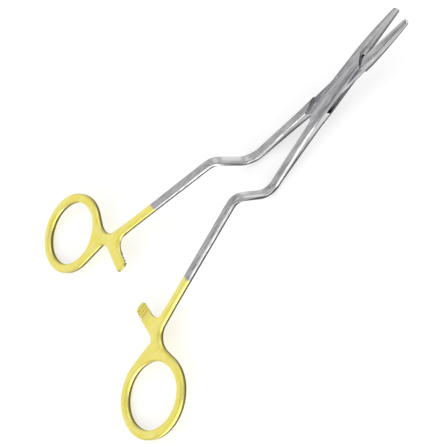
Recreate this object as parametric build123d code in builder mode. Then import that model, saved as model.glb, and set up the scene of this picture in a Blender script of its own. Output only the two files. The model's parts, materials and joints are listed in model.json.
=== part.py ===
from build123d import *
import os
from math import asin, atan2, cos, degrees, hypot, radians, sin, sqrt, tan

# Double-bent needle holder with ring handles, a box lock and a ratchet, in millimetres.
# Each arm is modelled closed, with the lock's pivot at the origin, the jaws along +X and the raised handles
# towards +Z. The male arm's handle is on the +Y side and its jaw on the -Y side, the female arm's are the
# other way round. At the end both arms are opened and the whole is laid down as it rests on a table.

# Lock
lock_thickness = 5.5
lock_waist_half_width = 3.6
lock_handle_reach = 22.5
lock_handle_shoulder = 14.7
lock_handle_half_width = 4.0
lock_jaw_reach = 15.0
lock_jaw_shoulder = 10.5
lock_jaw_half_width = 3.4
lock_flank = 1.5
lock_edge_radius = 1.0
cheek_thickness = 1.5
tongue_clearance = 0.05
seam_clearance = 0.12
tongue_inset = 0.1
rivet_diameter = 2.6
rivet_head_diameter = 3.5
rivet_head_depth = 0.7
rivet_clearance = 0.04

# Jaws
jaw_reach = 39.0
jaw_bow = 0.3
jaw_tip_half_width = 1.7
jaw_tip_thickness = 2.9
jaw_tip_radius = 1.3
jaw_face_gap = 0.1
insert_length = 21.0
insert_depth = 0.8

# Shanks
shank_gap = 0.3
shank_width = 3.9
shank_thickness = 4.0
edge_chamfer = 1.0
front_shank_length = 39.2
front_shank_splay = 4.65
rear_shank_length = 59.9
rear_shank_splay = 7.96
step_height = 19.7
step_run = 4.8
front_bend_radius = 8.0
rear_bend_radius = 5.5
bend_lead = 1.5

# Finger rings
ring_opening_length = 35.7
ring_opening_width = 29.4
ring_band = 4.4
ring_setback = 18.3
ring_offset = 20.35
ring_turn = 1.5
notch_setback = 19.55
notch_radius = 8.0
neck_flare = 0.5
heel_radius = 6.0

# Ratchet
male_rack_lead = 4.0
female_rack_lead = 2.1
rack_width = 6.8
rack_overlap = 1.55
rack_end_radius = 2.4
rack_front_radius = 6.0
rack_rear_radius = 4.5
tooth_pitch = 1.8
tooth_depth = 0.8
tooth_count = 4
tooth_land = 0.25
tooth_tip_clearance = 0.05

# How it lies: each arm's share of the opening shown
rest_half_opening = 4.75


# Seams of the lock, seen from above

half_lock = lock_thickness / 2
slot_half_height = half_lock - cheek_thickness
tongue_half_height = slot_half_height - tongue_clearance
lock_side = 2 * lock_handle_half_width
jaw_face_y = jaw_face_gap / 2
shank_root_width = lock_handle_half_width - shank_gap / 2


def seam_corner(reach, shoulder, half_width):
    """Where a seam that leaves the middle line at its reach has run well clear of the lock's side."""
    return reach + (shoulder - reach) * lock_side / half_width


handle_seam_end = -seam_corner(lock_handle_reach, lock_handle_shoulder, lock_handle_half_width)
jaw_seam_end = seam_corner(lock_jaw_reach, lock_jaw_shoulder, lock_jaw_half_width)


def draw_behind_seam(shift, middle_gap):
    """All that lies on the male handle's side, behind the lock's handle seam."""
    Polygon(
        (-lock_handle_reach - shift, middle_gap),
        (handle_seam_end - shift, lock_side),
        (-2 * lock_handle_reach, lock_side),
        (-2 * lock_handle_reach, middle_gap),
        align=None,
    )


def draw_before_seam(shift, middle_gap):
    """All that lies on the male jaw's side, in front of the lock's jaw seam."""
    Polygon(
        (lock_jaw_reach + shift, -middle_gap),
        (jaw_seam_end + shift, -lock_side),
        (2 * jaw_reach, -lock_side),
        (2 * jaw_reach, -middle_gap),
        align=None,
    )


def draw_slot(shift):
    """The way that the male arm's tongue takes through the lock."""
    Polygon(
        (-lock_handle_reach + shift, 0),
        (-lock_handle_reach + shift, lock_side),
        (jaw_seam_end - shift, lock_side),
        (lock_jaw_reach - shift, 0),
        (lock_jaw_reach - shift, -lock_side),
        (handle_seam_end + shift, -lock_side),
        align=None,
    )


# Lock and jaws in one closed blank, tapered in both views

jaw_middle = (lock_jaw_reach + jaw_reach) / 2
jaw_middle_half_width = (lock_jaw_half_width + jaw_tip_half_width) / 2 + jaw_bow
waist_rear = lock_handle_shoulder - lock_flank
waist_front = lock_jaw_shoulder - lock_flank

with BuildSketch(Plane.XY.offset(-half_lock)) as lock_plan:
    with BuildLine():
        Line((-lock_handle_reach, 0), (-lock_handle_reach, lock_handle_half_width))
        Line((-lock_handle_reach, lock_handle_half_width), (-waist_rear, lock_handle_half_width))
        ThreePointArc(
            (-waist_rear, lock_handle_half_width),
            (0, lock_waist_half_width),
            (waist_front, lock_jaw_half_width),
        )
        Line((waist_front, lock_jaw_half_width), (lock_jaw_reach, lock_jaw_half_width))
        ThreePointArc(
            (lock_jaw_reach, lock_jaw_half_width),
            (jaw_middle, jaw_middle_half_width),
            (jaw_reach, jaw_tip_half_width),
        )
        Line((jaw_reach, jaw_tip_half_width), (jaw_reach, 0))
        Line((jaw_reach, 0), (-lock_handle_reach, 0))
    make_face()
    mirror(about=Plane.XZ)
    fillet(lock_plan.vertices().group_by(Axis.X)[-1], radius=jaw_tip_radius)

with BuildSketch(Plane.XZ) as lock_side_view:
    Polygon(
        (-lock_handle_reach, -half_lock),
        (-lock_handle_reach, half_lock),
        (lock_jaw_reach, half_lock),
        (jaw_reach, jaw_tip_thickness / 2),
        (jaw_reach, -jaw_tip_thickness / 2),
        (lock_jaw_reach, -half_lock),
        align=None,
    )

with BuildPart() as lock_blank:
    extrude(lock_plan.sketch, amount=lock_thickness)
    extrude(lock_side_view.sketch, amount=lock_side, both=True, mode=Mode.INTERSECT)
    level_faces = lock_blank.faces().filter_by(lambda face: abs(face.normal_at().Z) > 0.9)
    side_edges = level_faces.edges().filter_by(lambda edge: abs(edge.center().Y) > jaw_tip_half_width / 4)
    tip_edges = level_faces.edges().filter_by(Axis.Y).sort_by(Axis.X)[-2:]
    fillet(side_edges + tip_edges, radius=lock_edge_radius)

# Handle blank: ring, neck and rack of the male arm, which is the upper rack

rear_splay = radians(rear_shank_splay)
front_splay = radians(front_shank_splay)
root_side = (shank_gap + shank_root_width) / 2
bend_x = -lock_handle_reach - front_shank_length * cos(front_splay)
bend_y = root_side + front_shank_length * sin(front_splay)
step_x = bend_x - step_run * cos(rear_splay)
step_y = bend_y + step_run * sin(rear_splay)
neck_x = step_x - rear_shank_length * cos(rear_splay)
neck_y = step_y + rear_shank_length * sin(rear_splay)
half_shank = shank_width / 2
half_handle = shank_thickness / 2
notch_x = neck_x - notch_setback


def shank_edge_y(x, side):
    """Height of the handle's outer (1) or inner (-1) edge in the plan, at x, where it flares to its notch."""
    flare = neck_flare * (neck_x - x) / (neck_x - notch_x)
    return neck_y + (neck_x - x) * tan(rear_splay) + side * (half_shank + flare) / cos(rear_splay)


ring_half_length = ring_opening_length / 2 + ring_band
ring_half_width = ring_opening_width / 2 + ring_band
ring_heading = radians(ring_turn)

with BuildSketch() as ring_outline:
    Ellipse(ring_half_length, ring_half_width)

with BuildSketch() as ring_opening:
    Ellipse(ring_opening_length / 2, ring_opening_width / 2)

ring_x = notch_x - ring_setback
ring_y = shank_edge_y(notch_x, 0) + ring_offset
ring_place = Location((ring_x, ring_y, 0), (0, 0, ring_turn))


def ring_point(along, across):
    """Place in the plan of a point measured along the ring's long and short axes."""
    return (
        ring_x + along * cos(ring_heading) - across * sin(ring_heading),
        ring_y + along * sin(ring_heading) + across * cos(ring_heading),
    )


# The ring's lowest point in the plan, and where a straight web from the notch meets the ring smoothly

ring_drop = hypot(ring_half_length * sin(ring_heading), ring_half_width * cos(ring_heading))
ring_low = ring_point(
    -(ring_half_length**2) * sin(ring_heading) / ring_drop,
    -(ring_half_width**2) * cos(ring_heading) / ring_drop,
)
notch = (notch_x, shank_edge_y(notch_x, 1))
neck_outer = (neck_x + half_shank * sin(rear_splay), neck_y + half_shank * cos(rear_splay))
neck_inner = (neck_x - half_shank * sin(rear_splay), neck_y - half_shank * cos(rear_splay))
ring_squash = ring_half_length / ring_half_width
web_x = notch[0] - ring_x
web_y = notch[1] - ring_y
web_along = web_x * cos(ring_heading) + web_y * sin(ring_heading)
web_across = (web_y * cos(ring_heading) - web_x * sin(ring_heading)) * ring_squash
web_square = web_along**2 + web_across**2
web_near = ring_half_length**2 / web_square
web_aside = ring_half_length * sqrt(web_square - ring_half_length**2) / web_square
web_top = ring_point(
    web_near * web_along - web_aside * web_across,
    (web_near * web_across + web_aside * web_along) / ring_squash,
)


def draw_handle_plan(rack_front, rack_rear, with_rack):
    """Face of the ring and neck seen from above, with the ratchet rack or without it."""
    heel = (rack_rear, ring_low[1])
    with Locations(ring_place):
        add(ring_outline.sketch)
    Polygon(
        neck_inner,
        (rack_front, shank_edge_y(rack_front, -1)),
        heel,
        ring_low,
        (ring_x, ring_y),
        web_top,
        notch,
        neck_outer,
        align=None,
    )
    if with_rack:
        Polygon(
            (rack_front, -rack_overlap),
            (rack_front, shank_edge_y(rack_front, 0)),
            heel,
            (rack_rear, -rack_overlap),
            align=None,
        )


def round_corner(corners, corner, radius):
    """Rounds the corner of a plan that lies nearest to a point."""
    fillet(corners.sort_by_distance((corner[0], corner[1], 0))[0], radius=radius)


handle_plane = Plane.XY.offset(step_height)
neck_end = Vector(neck_x, neck_y, step_height)
tooth_end = -rack_overlap + tooth_count * tooth_pitch
tooth_tip_z = step_height + tooth_tip_clearance
tooth_root_z = tooth_tip_z + tooth_depth


def handle_blank(rack_lead):
    """Ring, neck and upper rack of the male arm, the rack's middle a given way before the notch."""
    rack_front = notch_x + rack_lead + rack_width / 2
    rack_rear = notch_x + rack_lead - rack_width / 2
    root_front = (rack_front, shank_edge_y(rack_front, -1))
    root_rear = (rack_rear, ring_low[1])
    with BuildSketch(handle_plane) as upper_plan:
        draw_handle_plan(rack_front, rack_rear, with_rack=True)
        round_corner(upper_plan.vertices(), notch, notch_radius)
        round_corner(upper_plan.vertices(), root_front, rack_front_radius)
        round_corner(upper_plan.vertices(), root_rear, rack_rear_radius)
        round_corner(upper_plan.vertices(), (rack_front, -rack_overlap), rack_end_radius)
        round_corner(upper_plan.vertices(), (rack_rear, -rack_overlap), rack_end_radius)
        with Locations(ring_place):
            add(ring_opening.sketch, mode=Mode.SUBTRACT)
    with BuildSketch(handle_plane) as lower_plan:
        draw_handle_plan(rack_front, rack_rear, with_rack=False)
        round_corner(lower_plan.vertices(), notch, notch_radius)
        round_corner(lower_plan.vertices(), root_front, heel_radius)
        round_corner(lower_plan.vertices(), root_rear, heel_radius)
        with Locations(ring_place):
            add(ring_opening.sketch, mode=Mode.SUBTRACT)
    with BuildPart() as handle:
        extrude(upper_plan.sketch, amount=half_handle, dir=(0, 0, 1))
        extrude(lower_plan.sketch, amount=half_handle, dir=(0, 0, -1))
        top_edges = handle.faces().sort_by(Axis.Z)[-1].edges()
        bottom_edges = handle.faces().sort_by(Axis.Z)[0].edges()
        outer_edges = (top_edges + bottom_edges).filter_by(
            lambda edge: (edge.center() - neck_end).length > shank_thickness
        )
        chamfer(outer_edges, length=edge_chamfer)
        # Saw teeth under the rack: the ramps lead, the steep sides hold the handles closed
        with BuildSketch(Plane.YZ.offset(rack_rear - rack_width / 2)) as tooth_gaps:
            for tooth in range(tooth_count):
                tip_y = -rack_overlap + tooth * tooth_pitch
                Polygon(
                    (tip_y, tooth_tip_z),
                    (tip_y, tooth_root_z),
                    (tip_y + tooth_pitch - tooth_land, tooth_tip_z),
                    align=None,
                )
            Polygon(
                (-rack_overlap - rack_width, step_height - shank_thickness),
                (-rack_overlap - rack_width, tooth_tip_z),
                (tooth_end, tooth_tip_z),
                (tooth_end, step_height - shank_thickness),
                align=None,
            )
        extrude(tooth_gaps.sketch, amount=2 * rack_width, mode=Mode.SUBTRACT)
    return handle.part


male_handle = handle_blank(male_rack_lead)
female_handle = handle_blank(female_rack_lead).rotate(Axis((0, 0, step_height), (1, 0, 0)), 180)

# Shank blank: front shank, two bends and rear shank of the male arm

bend_turn = atan2(step_height, step_run)
front_tangent = front_bend_radius * tan(bend_turn / 2)
lead = front_tangent + bend_lead
lead_point = (bend_x + lead * cos(rear_splay), bend_y - lead * sin(rear_splay), 0)
across_shank = (sin(rear_splay), cos(rear_splay), 0)
along_shank = (-cos(rear_splay), sin(rear_splay), 0)
lead_plane = Plane(origin=lead_point, x_dir=across_shank, z_dir=along_shank)
root_plane = Plane(origin=(-lock_handle_reach, root_side, 0), x_dir=(0, 1, 0), z_dir=(-1, 0, 0))

with BuildSketch(root_plane) as root_section:
    Rectangle(shank_root_width, lock_thickness)
    fillet(root_section.vertices(), radius=lock_edge_radius)

with BuildSketch(lead_plane) as shank_section:
    Rectangle(shank_width, shank_thickness)
    chamfer(shank_section.vertices(), length=edge_chamfer)

with BuildPart() as shank_blank:
    with BuildLine() as shank_path:
        FilletPolyline(
            lead_point,
            (bend_x, bend_y, 0),
            (step_x, step_y, step_height),
            (neck_x, neck_y, step_height),
            radius=[front_bend_radius, rear_bend_radius],
        )
    sweep(sections=shank_section.sketch, path=shank_path.wire())
    loft(sections=[root_section.sketch, shank_section.sketch], ruled=True)

# Rivet, headed over in countersinks and ground flush with the lock's cheeks

with BuildSketch(Plane.XZ) as rivet_profile:
    Polygon(
        (0, -half_lock),
        (rivet_head_diameter / 2, -half_lock),
        (rivet_diameter / 2, -half_lock + rivet_head_depth),
        (rivet_diameter / 2, half_lock - rivet_head_depth),
        (rivet_head_diameter / 2, half_lock),
        (0, half_lock),
        align=None,
    )

with BuildPart() as rivet_closed:
    revolve(rivet_profile.sketch, axis=Axis.Z)

# Female arm, closed: the lock's cheeks with the slot between them

insert_x = jaw_reach - insert_length / 2
insert_y = jaw_face_y + insert_depth / 2

with BuildPart() as female_closed:
    add(lock_blank.part)
    with BuildSketch(Plane.XY.offset(-half_lock)):
        draw_behind_seam(0, 0)
        draw_before_seam(0, -jaw_face_y)
    extrude(amount=lock_thickness, mode=Mode.SUBTRACT)
    with BuildSketch(Plane.XY.offset(-slot_half_height)):
        draw_slot(0)
    extrude(amount=2 * slot_half_height, mode=Mode.SUBTRACT)
    revolve(rivet_profile.sketch, axis=Axis.Z, mode=Mode.SUBTRACT)
    with Locations((insert_x, insert_y)):
        Box(insert_length, insert_depth, lock_thickness, mode=Mode.SUBTRACT)
    mirror(shank_blank.part, about=Plane.XZ)
    add(female_handle)

# Male arm, closed: its tongue fills the slot and turns on the rivet

with BuildPart() as male_closed:
    add(lock_blank.part)
    with BuildSketch(Plane.XY.offset(-half_lock)):
        draw_behind_seam(seam_clearance, shank_gap / 2)
        draw_before_seam(seam_clearance, jaw_face_y)
    extrude(amount=lock_thickness, mode=Mode.INTERSECT)
    with BuildSketch(Plane.XY.offset(-tongue_half_height)):
        draw_slot(seam_clearance)
        add(offset(lock_plan.sketch, amount=-tongue_inset, mode=Mode.PRIVATE), mode=Mode.INTERSECT)
    extrude(amount=2 * tongue_half_height)
    with Locations((0, 0, 0)):
        Cylinder(rivet_diameter / 2 + rivet_clearance, lock_thickness, mode=Mode.SUBTRACT)
    with Locations((insert_x, -insert_y)):
        Box(insert_length, insert_depth, lock_thickness, mode=Mode.SUBTRACT)
    add(shank_blank.part)
    add(male_handle)

# Inserts: hard-metal strips brazed flush into the gripping faces

with BuildPart() as female_insert_closed:
    add(lock_blank.part)
    with Locations((insert_x, insert_y)):
        Box(insert_length, insert_depth, lock_thickness, mode=Mode.INTERSECT)

with BuildPart() as male_insert_closed:
    add(lock_blank.part)
    with Locations((insert_x, -insert_y)):
        Box(insert_length, insert_depth, lock_thickness, mode=Mode.INTERSECT)

# How it lies: opened, it rests on its front bends and on the far ends of its rings, with its jaws in the air

bend_circle = Vector(lead_point[0] - bend_lead * cos(rear_splay), lead_point[1] + bend_lead * sin(rear_splay))
ring_centre = Vector(ring_x, ring_y).rotate(Axis.Z, -rest_half_opening)
ring_turn_at_rest = radians(ring_turn - rest_half_opening)
ring_extent = hypot(ring_half_length * cos(ring_turn_at_rest), ring_half_width * sin(ring_turn_at_rest))
bend_circle_x = bend_circle.rotate(Axis.Z, -rest_half_opening).X
ring_corner_x = ring_centre.X - ring_extent + edge_chamfer
contact_run = bend_circle_x - ring_corner_x
contact_rise = step_height - half_handle - front_bend_radius
contact_drop = front_bend_radius + half_handle
lie_angle = degrees(
    atan2(contact_rise, contact_run) + asin(contact_drop / hypot(contact_run, contact_rise))
)
laid_down = Location((0, 0, 0), (0, -lie_angle, 0))
female_turn = laid_down * Location((0, 0, 0), (0, 0, rest_half_opening))
male_turn = laid_down * Location((0, 0, 0), (0, 0, -rest_half_opening))
both_arms = Compound(children=[female_closed.part.moved(female_turn), male_closed.part.moved(male_turn)])
extent = both_arms.bounding_box()
pivot_at_rest = Vector(-extent.center().X, -extent.center().Y, -extent.min.Z)
female_rest = Location(pivot_at_rest) * female_turn
male_rest = Location(pivot_at_rest) * male_turn

with BuildPart() as female_arm:
    add(female_closed.part.moved(female_rest))

with BuildPart() as male_arm:
    add(male_closed.part.moved(male_rest))

with BuildPart() as lock_rivet:
    add(rivet_closed.part.moved(female_rest))

with BuildPart() as female_insert:
    add(female_insert_closed.part.moved(female_rest))

with BuildPart() as male_insert:
    add(male_insert_closed.part.moved(male_rest))

female_arm.part.label = "female_arm"
male_arm.part.label = "male_arm"
lock_rivet.part.label = "lock_rivet"
female_insert.part.label = "female_insert"
male_insert.part.label = "male_insert"

os.makedirs("parts", exist_ok=True)
export_step(female_arm.part, "parts/female_arm.step")
export_step(male_arm.part, "parts/male_arm.step")
export_step(lock_rivet.part, "parts/lock_rivet.step")
export_step(female_insert.part, "parts/female_insert.step")
export_step(male_insert.part, "parts/male_insert.step")

print("lie angle", round(lie_angle, 3), "pivot", pivot_at_rest, "size", extent.size)
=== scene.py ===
import json
from math import exp, pi, radians

import bmesh
import bpy
from mathutils import Matrix, Vector


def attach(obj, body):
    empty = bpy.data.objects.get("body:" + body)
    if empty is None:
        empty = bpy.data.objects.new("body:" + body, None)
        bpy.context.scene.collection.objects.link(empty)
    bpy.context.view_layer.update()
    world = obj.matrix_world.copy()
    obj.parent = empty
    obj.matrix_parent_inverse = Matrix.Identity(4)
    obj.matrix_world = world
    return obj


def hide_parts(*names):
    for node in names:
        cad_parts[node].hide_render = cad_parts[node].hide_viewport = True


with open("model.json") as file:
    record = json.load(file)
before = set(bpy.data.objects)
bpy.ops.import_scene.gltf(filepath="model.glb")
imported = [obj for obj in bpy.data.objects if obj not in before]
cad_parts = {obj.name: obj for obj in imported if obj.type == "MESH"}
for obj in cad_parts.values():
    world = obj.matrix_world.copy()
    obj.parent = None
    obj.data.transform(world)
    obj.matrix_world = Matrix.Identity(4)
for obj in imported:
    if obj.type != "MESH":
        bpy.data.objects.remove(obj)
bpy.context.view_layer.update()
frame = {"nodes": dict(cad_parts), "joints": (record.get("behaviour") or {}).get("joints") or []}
nodes = frame["nodes"]

# The instrument's own directions: the joint is the box lock's pivot, and each arm is turned from
# the closed instrument's middle by half the opening

MM = 0.001
lock = frame["joints"][0]
pivot = Vector(lock["pos_m"])
lock_normal = -Vector(lock["axis"]).normalized()
half_opening = radians(-lock["range_deg"][0] / 2)
sideways = Vector((0, 1, 0))
forwards = sideways.cross(lock_normal).normalized()
arm_turns = {"female_arm": half_opening, "male_arm": -half_opening}


def arm_axes(arm):
    """Unit vectors along an arm towards its jaw, across it, and up out of the lock's flat face."""
    along = Matrix.Rotation(arm_turns[arm], 3, lock_normal) @ forwards
    return Matrix((along, lock_normal.cross(along), lock_normal))


# Colours, linear

STEEL = (0.43, 0.43, 0.435)
STEEL_PALE = (0.56, 0.56, 0.565)
# Painted light: a pale steel that lightens the walls, the steps at the bends and the rear walls in
# the lock's slot
STEEL_PAINTED_LIGHT = (0.78, 0.78, 0.785)
# Dark belt strokes, and painted shade on the top edges and at the foot of the inserts
STEEL_GRAIN_AND_SHADE = (0.14, 0.135, 0.145)
# Painted shade: the dark line along the lower edges of the steel walls
STEEL_PAINTED_SHADE = (0.06, 0.058, 0.064)
# Painted highlight along the middle of the lock's crowned top, and painted shade on its sides
LOCK_MIDDLE_HIGHLIGHT = (0.50, 0.49, 0.51)
LOCK_SIDES_SHADE = (0.22, 0.21, 0.235)
HEAT_TINT = (0.40, 0.32, 0.52)
GOLD = (0.93, 0.82, 0.18)
GOLD_PALE = (0.96, 0.87, 0.28)
# Dark gold strokes, and painted shade along the turned-under edges of the gold
GOLD_GRAIN_AND_SHADE = (0.13, 0.10, 0.025)
GOLD_DULL = (0.74, 0.66, 0.18)
HARD_METAL = (0.66, 0.66, 0.665)
HARD_METAL_DARK = (0.44, 0.44, 0.445)
PAPER = (0.62, 0.62, 0.62)
PAPER_SPECK = tuple(0.98 * c for c in PAPER)
WHITE = (1.0, 1.0, 1.0)

# Where an arm's thickness, finishes, painted shade and painted highlights change, as reaches from
# the pivot

SHANK_THICKENS = (-54 * MM, -22.5 * MM)
JAW_TAPERS = (15 * MM, 39 * MM)
REAR_SHADE_ENDS = (-64 * MM, -58 * MM)
LEFT_EDGE_BEGINS = (-62 * MM, -56 * MM)
FOOT_BEGINS = (-60 * MM, -54 * MM)
TOP_EDGES_BEGIN = (-26 * MM, -18 * MM)
SLOT_PAINTED_LIGHT_ENDS = (-3 * MM, 2 * MM)
LOCK_CENTRE = -5 * MM
LOCK_TONE_FADES = (10 * MM, 26 * MM)
HEAT_TINT_LENGTH = 4 * MM
PLATING_BORDER = 0.5 * MM
PLATING_WANDER = 0.30 * MM

# Places across an arm and up its walls

SHANK_HALF_HEIGHT = 2.0 * MM
LOCK_HALF_HEIGHT = 2.75 * MM
TIP_HALF_HEIGHT = 1.45 * MM
FOOT_SHARE = 0.28
FOOT_BORDER = (-0.15 * MM, 0.15 * MM)
SLOT_BORDER = (1.28 * MM, 1.40 * MM)
LOCK_MIDDLE_FADES = (0.4 * MM, 3.0 * MM)
RACK_BEGINS = (-9 * MM, -5 * MM)

# How far a face is turned to a direction where a finish, painted shade or painted highlight begins
# and where it is whole

ACROSS_THE_ARM = (0.5, 0.8)
SIDEWAYS = (0.4, 0.7)
UPRIGHT = (0.3, 0.6)
UNDERSIDE = (-0.95, -0.75)
TURNED_UNDER = (-0.12, 0.20)
LEFT_EDGE = (0.25, 0.6)
TOP_EDGE_FOOT = (0.15, 0.35)
TOP_EDGE_HEAD = (0.85, 0.97)

# Grain: the scales of its noises, the parts of their range that show, and the roughness they give

CLOUD_SCALE = 160.0
WANDER_SCALE = 420.0
STROKE_SCALE = 1700.0
SCUFF_SCALE = 1100.0
HARD_METAL_SCALE = 3000.0
SPECK_SCALE = 900.0
CLOUDS = (0.35, 0.65)
WHOLE_GRAIN = (0.3, 0.7)
HARD_METAL_GRAIN = (0.2, 0.8)
DARK_STROKES = (0.44, 0.62)
PALE_SCUFFS = (0.48, 0.75)
GOLD_STROKES = (0.42, 0.72)
STEEL_ROUGHNESS = (0.28, 0.42)
GOLD_ROUGHNESS = (0.32, 0.42)
HARD_METAL_ROUGHNESS = (0.36, 0.50)
RELIEF_DEPTH = 0.02 * MM
ARM_RELIEF = 0.25
HARD_METAL_RELIEF = 0.2

# How strong a finish, painted shade or painted highlight is where it is whole

CLOUD_TONE = 0.5
LOCK_TONE = 0.9
WALL_PAINTED_LIGHT = 0.6
SLOT_PAINTED_LIGHT = 0.9
STROKE_TONE = 0.50
SCUFF_TONE = 0.8
GOLD_STROKE_TONE = 0.10
LEFT_EDGE_TONE = 0.75
TOP_EDGE_TONE = 0.8
LOWER_EDGE_SHADE = 0.92
FOOT_SHADE_TONE = 0.9
FRONT_LIFT = 0.30
RACK_DROP = 0.35
DULL_ROUGHER = 0.45
DULL_LESS_METAL = 0.9


class Nodes:
    """A node tree, with short calls that add a node, wire it and give back its result."""

    def __init__(self, tree):
        self.tree = tree

    def add(self, kind, inputs=None, **settings):
        node = self.tree.nodes.new(kind)
        for key, value in settings.items():
            setattr(node, key, value)
        for key, value in (inputs or {}).items():
            self.give(node.inputs[key], value)
        return node

    def give(self, socket, value):
        """Links a socket to another node's result, or sets it to a number, vector or colour."""
        if isinstance(value, bpy.types.NodeSocket):
            self.tree.links.new(value, socket)
        elif socket.type == "RGBA":
            socket.default_value = (*value, 1.0)
        else:
            socket.default_value = value

    def math(self, operation, a, b=0.0):
        return self.add("ShaderNodeMath", {0: a, 1: b}, operation=operation).outputs[0]

    def plus(self, a, b):
        return self.math("ADD", a, b)

    def minus(self, a, b):
        return self.math("SUBTRACT", a, b)

    def times(self, first, *others):
        for other in others:
            first = self.math("MULTIPLY", first, other)
        return first

    def size(self, a):
        return self.math("ABSOLUTE", a)

    def larger(self, a, b):
        return self.math("MAXIMUM", a, b)

    def fade(self, value, span, start, end):
        """Start below the span, end above it, and a straight change from one to the other in it."""
        inputs = {0: value, 1: span[0], 2: span[1], 3: start, 4: end}
        return self.add("ShaderNodeMapRange", inputs, clamp=True).outputs[0]

    def noise(self, vector, scale, detail=3.0, roughness=0.5):
        inputs = {"Vector": vector, "Scale": scale, "Detail": detail, "Roughness": roughness}
        return self.add("ShaderNodeTexNoise", inputs).outputs["Fac"]

    def mix_colour(self, factor, a, b):
        """Colour a where the factor is 0 and b where it is 1."""
        node = self.add("ShaderNodeMix", data_type="RGBA")
        sockets = {socket.identifier: socket for socket in node.inputs}
        self.give(sockets["Factor_Float"], factor)
        self.give(sockets["A_Color"], a)
        self.give(sockets["B_Color"], b)
        return next(s for s in node.outputs if s.identifier == "Result_Color")

    def turned_to(self, direction):
        """How far the surface faces a direction, from 1 through 0 to -1."""
        inputs = {0: self.add("ShaderNodeNewGeometry").outputs["Normal"], 1: tuple(direction)}
        dot = self.add("ShaderNodeVectorMath", inputs, operation="DOT_PRODUCT")
        return dot.outputs["Value"]


def new_material(name):
    """A material with an empty tree."""
    material = bpy.data.materials.new(name)
    material.use_nodes = True
    material.node_tree.nodes.clear()
    return material, Nodes(material.node_tree)


def add_object(name, data):
    """An object at the origin. A piece's place is in its mesh."""
    thing = bpy.data.objects.new(name, data)
    bpy.context.scene.collection.objects.link(thing)
    return thing


class PlaceOnArm:
    """Object coordinates turned to an arm: reach from the pivot to its jaw, left, and height."""

    def __init__(self, n, arm):
        axes = arm_axes(arm)
        texture = n.add("ShaderNodeTexCoord")
        inputs = {"Vector": texture.outputs["Object"],
                  "Location": -(axes @ pivot), "Rotation": axes.to_euler()}
        self.place = n.add("ShaderNodeMapping", inputs).outputs["Vector"]
        parts = n.add("ShaderNodeSeparateXYZ", {"Vector": self.place}).outputs
        self.reach, self.left, self.height = parts["X"], parts["Y"], parts["Z"]


def belt_marks(n, place, turn, stretch, scale, roughness=0.6):
    """Noise drawn out into the short strokes of a grinding belt, turned by some degrees."""
    inputs = {"Vector": place, "Rotation": (0, 0, radians(turn)), "Scale": (stretch, 1.0, 1.0)}
    drawn_out = n.add("ShaderNodeMapping", inputs).outputs["Vector"]
    return n.noise(drawn_out, scale, roughness=roughness)


def finish_metal(n, colour, metallic, roughness, grain, relief):
    """Ends a tree in one metal shader, its grain also a slight bump."""
    inputs = {"Strength": relief, "Distance": RELIEF_DEPTH, "Height": grain}
    bump = n.add("ShaderNodeBump", inputs).outputs[0]
    inputs = {"Base Color": colour, "Metallic": metallic, "Roughness": roughness, "Normal": bump}
    shader = n.add("ShaderNodeBsdfPrincipled", inputs)
    n.add("ShaderNodeOutputMaterial", {"Surface": shader.outputs[0]})


def foot_of_wall(n, at):
    """1 on the lowest part of the walls of the front shank, the lock and the tapered jaw, where
    painted shade goes.
    """
    behind = n.fade(at.reach, SHANK_THICKENS, SHANK_HALF_HEIGHT, LOCK_HALF_HEIGHT)
    ahead = n.fade(at.reach, JAW_TAPERS, LOCK_HALF_HEIGHT, TIP_HALF_HEIGHT)
    half_height = n.math("MINIMUM", behind, ahead)
    foot = n.plus(at.height, n.times(half_height, FOOT_SHARE))
    return n.fade(foot, FOOT_BORDER, 1.0, 0.0)


def gold_plated(n, at, plated_from):
    """1 on the plated length of an arm, up to a slightly wandering border."""
    wander = n.noise(at.place, WANDER_SCALE, 4.0)
    wander = n.fade(wander, WHOLE_GRAIN, -PLATING_WANDER, PLATING_WANDER)
    border = (plated_from - PLATING_BORDER, plated_from + PLATING_BORDER)
    return n.fade(n.plus(at.reach, wander), border, 1.0, 0.0)


def painted_under_shade(n, at, level, rack, rear_shade):
    """1 where an arm's rounding turns under, but not on its underside except the rack's: the mask
    of painted shade along the lower edges.
    """
    turn = n.plus(level, n.fade(at.reach, REAR_SHADE_ENDS, -rear_shade, FRONT_LIFT))
    turn = n.minus(turn, n.times(rack, RACK_DROP))
    not_below = n.larger(n.fade(level, UNDERSIDE, 0.0, 1.0), rack)
    return n.times(n.fade(turn, TURNED_UNDER, 1.0, 0.0), not_below)


def painted_top_edge_shade(n, at, level, side, beside):
    """Painted shade on the edges of the top: the left one on the front shank, both from the lock
    on.
    """
    left = n.times(n.fade(side, LEFT_EDGE, 0.0, LEFT_EDGE_TONE),
                   n.fade(at.reach, LEFT_EDGE_BEGINS, 0.0, 1.0))
    both = n.times(n.fade(level, TOP_EDGE_FOOT, 0.0, 1.0), n.fade(level, TOP_EDGE_HEAD, 1.0, 0.0),
                   beside, n.fade(at.reach, TOP_EDGES_BEGIN, 0.0, TOP_EDGE_TONE))
    return n.larger(left, both)


def painted_slot_light_mask(n, at, level, near_lock):
    """Painted light: the rear walls inside the lock's slot, lightened though they lie in shade
    between them.
    """
    inside = n.fade(n.size(at.height), SLOT_BORDER, 1.0, 0.0)
    upright = n.fade(n.size(level), UPRIGHT, 1.0, 0.0)
    return n.times(inside, upright, near_lock, n.fade(at.reach, SLOT_PAINTED_LIGHT_ENDS, SLOT_PAINTED_LIGHT, 0.0))


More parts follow.
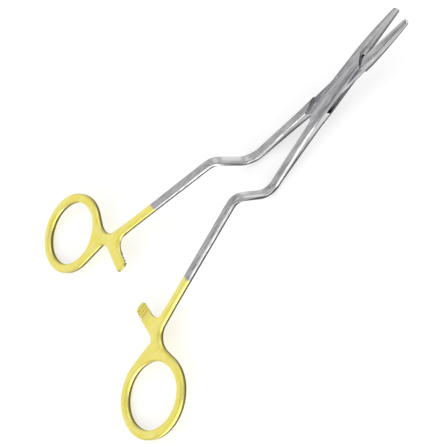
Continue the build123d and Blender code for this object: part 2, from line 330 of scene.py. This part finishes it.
def arm_material(arm, plated_from, rack_side, dull_rack, heat_tint, rear_shade):
    """Satin steel from the jaw to the middle of the rear shank, gold plating from there on, with
    painted shade and painted highlights on its edges, walls, steps and lock.
    """
    material, n = new_material(f"{arm}_steel_and_gold")
    at = PlaceOnArm(n, arm)
    strokes = belt_marks(n, at.place, turn=38, stretch=0.07, scale=STROKE_SCALE)
    scuffs = belt_marks(n, at.place, turn=52, stretch=0.20, scale=SCUFF_SCALE, roughness=0.55)
    cloud = n.noise(at.place, CLOUD_SCALE)

    along, across, up = arm_axes(arm)
    level = n.turned_to(up)
    side = n.turned_to(across)
    wall = n.fade(n.size(side), SIDEWAYS, 0.0, 1.0)
    beside = n.fade(n.size(n.turned_to(along)), ACROSS_THE_ARM, 1.0, 0.0)

    plated = gold_plated(n, at, plated_from)
    rack = n.times(n.fade(n.times(at.left, rack_side), RACK_BEGINS, 0.0, 1.0), plated)
    dull = n.times(rack, dull_rack)
    # Masks of painted shade along the lower edges and the foot of the walls, and of painted light
    # in the lock's slot
    under = painted_under_shade(n, at, level, rack, rear_shade)
    foot = n.times(foot_of_wall(n, at), wall, n.fade(at.reach, FOOT_BEGINS, 0.0, 1.0))
    off_lock = n.size(n.minus(at.reach, LOCK_CENTRE))
    near_lock = n.fade(off_lock, LOCK_TONE_FADES, LOCK_TONE, 0.0)
    slot_painted_light = painted_slot_light_mask(n, at, level, near_lock)
    heat = n.fade(at.reach, (plated_from, plated_from + HEAT_TINT_LENGTH), heat_tint, 0.0)

    steel = n.mix_colour(n.fade(cloud, CLOUDS, 0.0, CLOUD_TONE), STEEL, STEEL_PALE)
    off_middle = n.fade(n.size(at.left), LOCK_MIDDLE_FADES, 0.0, 1.0)
    # Painted highlight along the middle of the lock's top and painted shade on its sides
    steel = n.mix_colour(near_lock, steel, n.mix_colour(off_middle, LOCK_MIDDLE_HIGHLIGHT, LOCK_SIDES_SHADE))
    # Painted highlight: faces turned along the arm, such as the steps at the bends, lightened
    steel = n.mix_colour(n.minus(1.0, beside), steel, STEEL_PAINTED_LIGHT)
    steel = n.mix_colour(heat, steel, HEAT_TINT)
    # Painted light: the walls lightened
    steel = n.mix_colour(n.times(wall, WALL_PAINTED_LIGHT), steel, STEEL_PAINTED_LIGHT)
    marks = n.times(n.fade(strokes, DARK_STROKES, 0.0, STROKE_TONE), beside)
    steel = n.mix_colour(marks, steel, STEEL_GRAIN_AND_SHADE)
    marks = n.times(n.fade(scuffs, PALE_SCUFFS, 0.0, SCUFF_TONE), beside)
    steel = n.mix_colour(marks, steel, STEEL_PALE)
    # Painted shade on the top edges, darkening the lamp's highlight there
    steel = n.mix_colour(painted_top_edge_shade(n, at, level, side, beside), steel, STEEL_GRAIN_AND_SHADE)
    # Painted light on the rear walls inside the lock's slot
    steel = n.mix_colour(slot_painted_light, steel, STEEL_PAINTED_LIGHT)
    # Painted shade: the dark line along the lower edges and the foot of the walls, kept off the
    # slot's lightened walls
    dark = n.times(n.larger(n.times(under, beside), foot), LOWER_EDGE_SHADE)
    steel = n.mix_colour(n.times(dark, n.minus(1.0, slot_painted_light)), steel, STEEL_PAINTED_SHADE)

    gold = n.mix_colour(n.fade(cloud, CLOUDS, 0.0, 1.0), GOLD, GOLD_PALE)
    gold = n.mix_colour(n.fade(strokes, GOLD_STROKES, 0.0, GOLD_STROKE_TONE), gold, GOLD_GRAIN_AND_SHADE)
    # Painted shade along the gold's turned-under edges, less on the dull rack
    gold = n.mix_colour(n.times(under, n.minus(LOWER_EDGE_SHADE, dull)), gold, GOLD_GRAIN_AND_SHADE)
    gold = n.mix_colour(dull, gold, GOLD_DULL)

    rough_steel = n.fade(strokes, WHOLE_GRAIN, *STEEL_ROUGHNESS)
    rough_gold = n.fade(strokes, WHOLE_GRAIN, *GOLD_ROUGHNESS)
    rough_gold = n.plus(rough_gold, n.times(dull, DULL_ROUGHER))
    rough = n.add("ShaderNodeMix", {0: plated, 2: rough_steel, 3: rough_gold}).outputs[0]
    metallic = n.minus(1.0, n.times(dull, DULL_LESS_METAL)) if dull_rack else 1.0
    colour = n.mix_colour(plated, steel, gold)
    finish_metal(n, colour, metallic, rough, strokes, ARM_RELIEF)
    return material


def hard_metal_material(arm):
    """Ground hard metal of a jaw's insert, with painted shade at the foot of its face."""
    material, n = new_material(f"{arm}_hard_metal")
    at = PlaceOnArm(n, arm)
    grain = belt_marks(n, at.place, turn=38, stretch=0.2, scale=HARD_METAL_SCALE)
    tone = n.mix_colour(n.fade(grain, WHOLE_GRAIN, 0.0, 1.0), HARD_METAL, HARD_METAL_DARK)
    # Painted shade along the foot of the insert's face
    tone = n.mix_colour(n.times(foot_of_wall(n, at), FOOT_SHADE_TONE), tone, STEEL_GRAIN_AND_SHADE)
    rough = n.fade(grain, HARD_METAL_GRAIN, *HARD_METAL_ROUGHNESS)
    finish_metal(n, tone, 1.0, rough, grain, HARD_METAL_RELIEF)
    return material


# Arms: copies of the forgings whose ground edges shade as rounded

WELD = 0.001 * MM
FLAT_ANGLE = radians(0.3)
CREASE_ANGLE = radians(52)
LEVEL_LEAD = 20.0


def smooth_fan(corner):
    """Corners round a vertex that are joined to this one across smooth edges."""
    fan = [corner]
    for here in fan:
        for edge in (here.edge, here.link_loop_prev.edge):
            if edge.smooth:
                for loop in edge.link_loops:
                    beside = loop if loop.vert == corner.vert else loop.link_loop_next
                    if beside not in fan:
                        fan.append(beside)
    return fan


def rounded_normals(form):
    """Normals led by the most level face at each corner, so that a chamfer shades as rounded."""
    normals = {}
    for face in form.faces:
        for corner in face.loops:
            if corner not in normals:
                fan = smooth_fan(corner)
                total = Vector()
                for here in fan:
                    level = abs(here.face.normal.dot(lock_normal))
                    total += here.calc_angle() * exp(LEVEL_LEAD * level) * here.face.normal
                for here in fan:
                    normals[here] = total.normalized()
    return [normals[corner] for face in form.faces for corner in face.loops]


def rounded_edges(node, body, material):
    """Copy of a forging that takes its place, its chamfers shaded as softly rounded edges."""
    form = bmesh.new()
    form.from_mesh(nodes[node].data)
    bmesh.ops.remove_doubles(form, verts=form.verts, dist=WELD)
    bmesh.ops.dissolve_limit(form, angle_limit=FLAT_ANGLE, verts=form.verts, edges=form.edges)
    form.normal_update()
    for edge in form.edges:
        edge.smooth = len(edge.link_faces) == 2 and edge.calc_face_angle(pi) < CREASE_ANGLE
    for face in form.faces:
        face.smooth = True
        face.material_index = 0
    normals = rounded_normals(form)
    mesh = bpy.data.meshes.new(f"{node}_forging")
    form.to_mesh(mesh)
    form.free()
    mesh.attributes.remove(mesh.attributes["custom_normal"])
    mesh.normals_split_custom_set(normals)
    mesh.materials.append(material)
    piece = add_object(f"{node}_forging", mesh)
    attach(piece, body)
    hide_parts(node)


def dress(node, material):
    """Gives a CAD node its material."""
    materials = nodes[node].data.materials
    materials.clear()
    materials.append(material)


female_finish = arm_material("female_arm", plated_from=-111.1 * MM, rack_side=1, dull_rack=0.7,
                             heat_tint=0.25, rear_shade=0.22)
male_finish = arm_material("male_arm", plated_from=-108.1 * MM, rack_side=-1, dull_rack=0.0,
                           heat_tint=0.6, rear_shade=0.34)
rounded_edges("female_arm", "female_half", female_finish)
rounded_edges("male_arm", "male_half", male_finish)
dress("lock_rivet", female_finish)

# Grip: the diamond hatch ground into the inserts' faces, kept within the gap between closed jaws

GRIP_START = 18.4 * MM
GRIP_END = 37.4 * MM
GRIP_PITCH = 0.62 * MM
GRIP_HEIGHT = 0.036 * MM
POINT_SHARE = 0.48
FACE_FROM_MIDDLE = 0.05 * MM
FACE_HALF_HEIGHT = 2.35 * MM
FACE_TAPER = 1.3 / 24
HATCH_SIZES = {
    "Start": GRIP_START,
    "Length": GRIP_END - GRIP_START,
    "Pitch": GRIP_PITCH,
    "Height": GRIP_HEIGHT,
    "Half height": FACE_HALF_HEIGHT,
    "Taper": FACE_TAPER,
}


def hatch_tree(material):
    """Low four-sided points in staggered rows along X, inside the face's tapered outline."""
    tree = bpy.data.node_groups.new("grip_hatch", "GeometryNodeTree")
    ports = tree.interface
    ports.new_socket("Geometry", in_out="OUTPUT", socket_type="NodeSocketGeometry")
    sockets = {}
    for name in HATCH_SIZES:
        socket = ports.new_socket(name, in_out="INPUT", socket_type="NodeSocketFloat")
        sockets[name] = socket.identifier
    n = Nodes(tree)
    given = n.add("NodeGroupInput").outputs
    start, length, pitch = given["Start"], given["Length"], given["Pitch"]
    half_pitch = n.times(pitch, 0.5)

    height = n.times(given["Half height"], 2.0)
    grid_sizes = {"Size X": length, "Size Y": height}
    for count, size in (("Vertices X", length), ("Vertices Y", height)):
        steps = n.math("ROUND", n.math("DIVIDE", size, pitch))
        grid_sizes[count] = n.plus(steps, 1.0)
    middle = n.plus(start, n.times(length, 0.5))
    joined = n.add("GeometryNodeJoinGeometry")
    for shift in (0.0, half_pitch):
        grid = n.add("GeometryNodeMeshGrid", grid_sizes).outputs["Mesh"]
        to = n.add("ShaderNodeCombineXYZ", {"X": n.plus(middle, shift), "Y": shift}).outputs[0]
        moved = n.add("GeometryNodeTransform", {"Geometry": grid, "Translation": to})
        tree.links.new(moved.outputs[0], joined.inputs[0])

    position = n.add("GeometryNodeInputPosition").outputs[0]
    at = n.add("ShaderNodeSeparateXYZ", {"Vector": position}).outputs
    narrowing = n.times(n.minus(at["X"], start), given["Taper"])
    room = n.minus(n.minus(given["Half height"], narrowing), half_pitch)
    too_wide = n.math("GREATER_THAN", n.size(at["Y"]), room)
    too_long = n.math("GREATER_THAN", at["X"], n.plus(start, length))
    inputs = {"Geometry": joined.outputs[0], "Selection": n.larger(too_wide, too_long)}
    kept = n.add("GeometryNodeDeleteGeometry", inputs).outputs[0]

    inputs = {"Vertices": 4, "Radius Top": 0.0, "Radius Bottom": n.times(pitch, POINT_SHARE),
              "Depth": given["Height"]}
    point = n.add("GeometryNodeMeshCone", inputs).outputs["Mesh"]
    placed = n.add("GeometryNodeInstanceOnPoints", {"Points": kept, "Instance": point}).outputs[0]
    real = n.add("GeometryNodeRealizeInstances", {"Geometry": placed}).outputs[0]
    hatch = n.add("GeometryNodeSetMaterial", {"Geometry": real, "Material": material}).outputs[0]
    n.add("NodeGroupOutput", {0: hatch})
    return tree, sockets


def grip_hatch(arm, body, side, material):
    """Hatch on one jaw's insert: the tree's X runs along the jaw and its Z out of the face."""
    tree, sockets = hatch_tree(material)
    maker = add_object(f"{arm}_hatch_maker", bpy.data.meshes.new(f"{arm}_hatch_maker"))
    modifier = maker.modifiers.new("hatch", "NODES")
    modifier.node_group = tree
    for name, value in HATCH_SIZES.items():
        modifier[sockets[name]] = value
    evaluated = maker.evaluated_get(bpy.context.evaluated_depsgraph_get())
    mesh = bpy.data.meshes.new_from_object(evaluated)
    bpy.data.objects.remove(maker)
    along, across, _ = arm_axes(arm)
    out = -side * across
    on_face = Matrix((along, out.cross(along), out)).transposed().to_4x4()
    mesh.transform(Matrix.Translation(pivot + side * FACE_FROM_MIDDLE * across) @ on_face)
    piece = add_object(f"{arm}_grip_hatch", mesh)
    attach(piece, body)


for arm, body, insert, side in (("female_arm", "female_half", "female_insert", 1),
                                ("male_arm", "male_half", "male_insert", -1)):
    hard_metal = hard_metal_material(arm)
    dress(insert, hard_metal)
    grip_hatch(arm, body, side, hard_metal)

# Studio, in metres

FLOOR_HALF = 3.0
GLOW_RISES = (0.5, 1.3)
GLOW_NEAR = 0.50
GLOW_FAR = 0.75
WORLD_STRENGTH = 0.50

# Each lamp's direction from the instrument, distance, width, height and brightness to look at

LAMPS = {
    "tent_behind": ((-0.57, 0.51, 0.645), 1.0, 1.3, 1.3, 0.45),
    "key_in_front": ((-0.33, -0.85, 0.30), 1.1, 1.4, 0.45, 3.4),
    "wing_in_front": ((-0.34, -0.62, 0.72), 1.1, 1.3, 0.5, 0.9),
    "fill_above": ((0.5, 0.1, 1.0), 1.1, 1.0, 1.0, 0.75),
}

# Camera, its focal length found in pixels of the photograph

PHOTO_SIDE = 447
FOCAL_PIXELS = 1118.27
SENSOR = 36.0
NEAREST_SEEN = 0.01
CAMERA_AT = Vector((0.16509, -0.27078, 0.41209))
CAMERA_RIGHT = (0.68474, -0.43743, -0.58292)
CAMERA_UP = (0.64175, 0.74096, 0.19782)
CAMERA_BACK = (0.34539, -0.50954, 0.78808)


def floor_material():
    """Pale paper that shows white to the camera and to reflections and keeps the shadow."""
    material, n = new_material("studio_floor")
    place = n.add("ShaderNodeTexCoord").outputs["Object"]
    tone = n.mix_colour(n.noise(place, SPECK_SCALE, 2.0), PAPER, PAPER_SPECK)
    paper = n.add("ShaderNodeBsdfDiffuse", {"Color": tone}).outputs[0]
    away = n.add("ShaderNodeVectorMath", {0: place}, operation="LENGTH").outputs["Value"]
    strength = n.fade(away, GLOW_RISES, GLOW_NEAR, GLOW_FAR)
    glow = n.add("ShaderNodeEmission", {"Color": WHITE, "Strength": strength}).outputs[0]
    rays = n.add("ShaderNodeLightPath").outputs
    seen = n.larger(rays["Is Camera Ray"], rays["Is Glossy Ray"])
    seen = n.larger(seen, rays["Is Transmission Ray"])
    white = n.add("ShaderNodeAddShader", {0: paper, 1: glow}).outputs[0]
    mixed = n.add("ShaderNodeMixShader", {0: seen, 1: paper, 2: white}).outputs[0]
    n.add("ShaderNodeOutputMaterial", {"Surface": mixed})
    return material


def make_floor():
    """Square sheet of paper that the instrument lies on."""
    mesh = bpy.data.meshes.new("floor")
    signs = ((-1, -1), (1, -1), (1, 1), (-1, 1))
    corners = [(FLOOR_HALF * x, FLOOR_HALF * y, 0) for x, y in signs]
    mesh.from_pydata(corners, [], [(0, 1, 2, 3)])
    mesh.materials.append(floor_material())
    add_object("floor", mesh)


def light_world():
    """Even surroundings, pale grey."""
    world = bpy.data.worlds.new("studio")
    world.use_nodes = True
    background = world.node_tree.nodes["Background"]
    background.inputs["Color"].default_value = (*WHITE, 1.0)
    background.inputs["Strength"].default_value = WORLD_STRENGTH
    bpy.context.scene.world = world


def soft_light(name, direction, distance, width, height, radiance):
    """Lamp that faces the instrument, as bright to look at as its radiance says."""
    data = bpy.data.lights.new(name, "AREA")
    data.shape = "RECTANGLE"
    data.size = width
    data.size_y = height
    data.energy = radiance * pi * width * height
    lamp = add_object(name, data)
    lamp.location = Vector(direction).normalized() * distance
    lamp.rotation_euler = (-lamp.location).to_track_quat("-Z", "Y").to_euler()


def place_camera():
    """Camera at the photograph's viewing angle."""
    data = bpy.data.cameras.new("camera")
    data.sensor_width = SENSOR
    data.lens = FOCAL_PIXELS / PHOTO_SIDE * SENSOR
    data.clip_start = NEAREST_SEEN
    camera = add_object("camera", data)
    axes = Matrix((CAMERA_RIGHT, CAMERA_UP, CAMERA_BACK)).transposed()
    camera.matrix_world = Matrix.Translation(CAMERA_AT) @ axes.to_4x4()
    bpy.context.scene.camera = camera


make_floor()
light_world()
for name, settings in LAMPS.items():
    soft_light(name, *settings)
place_camera()

bpy.context.scene.view_settings.view_transform = "Standard"
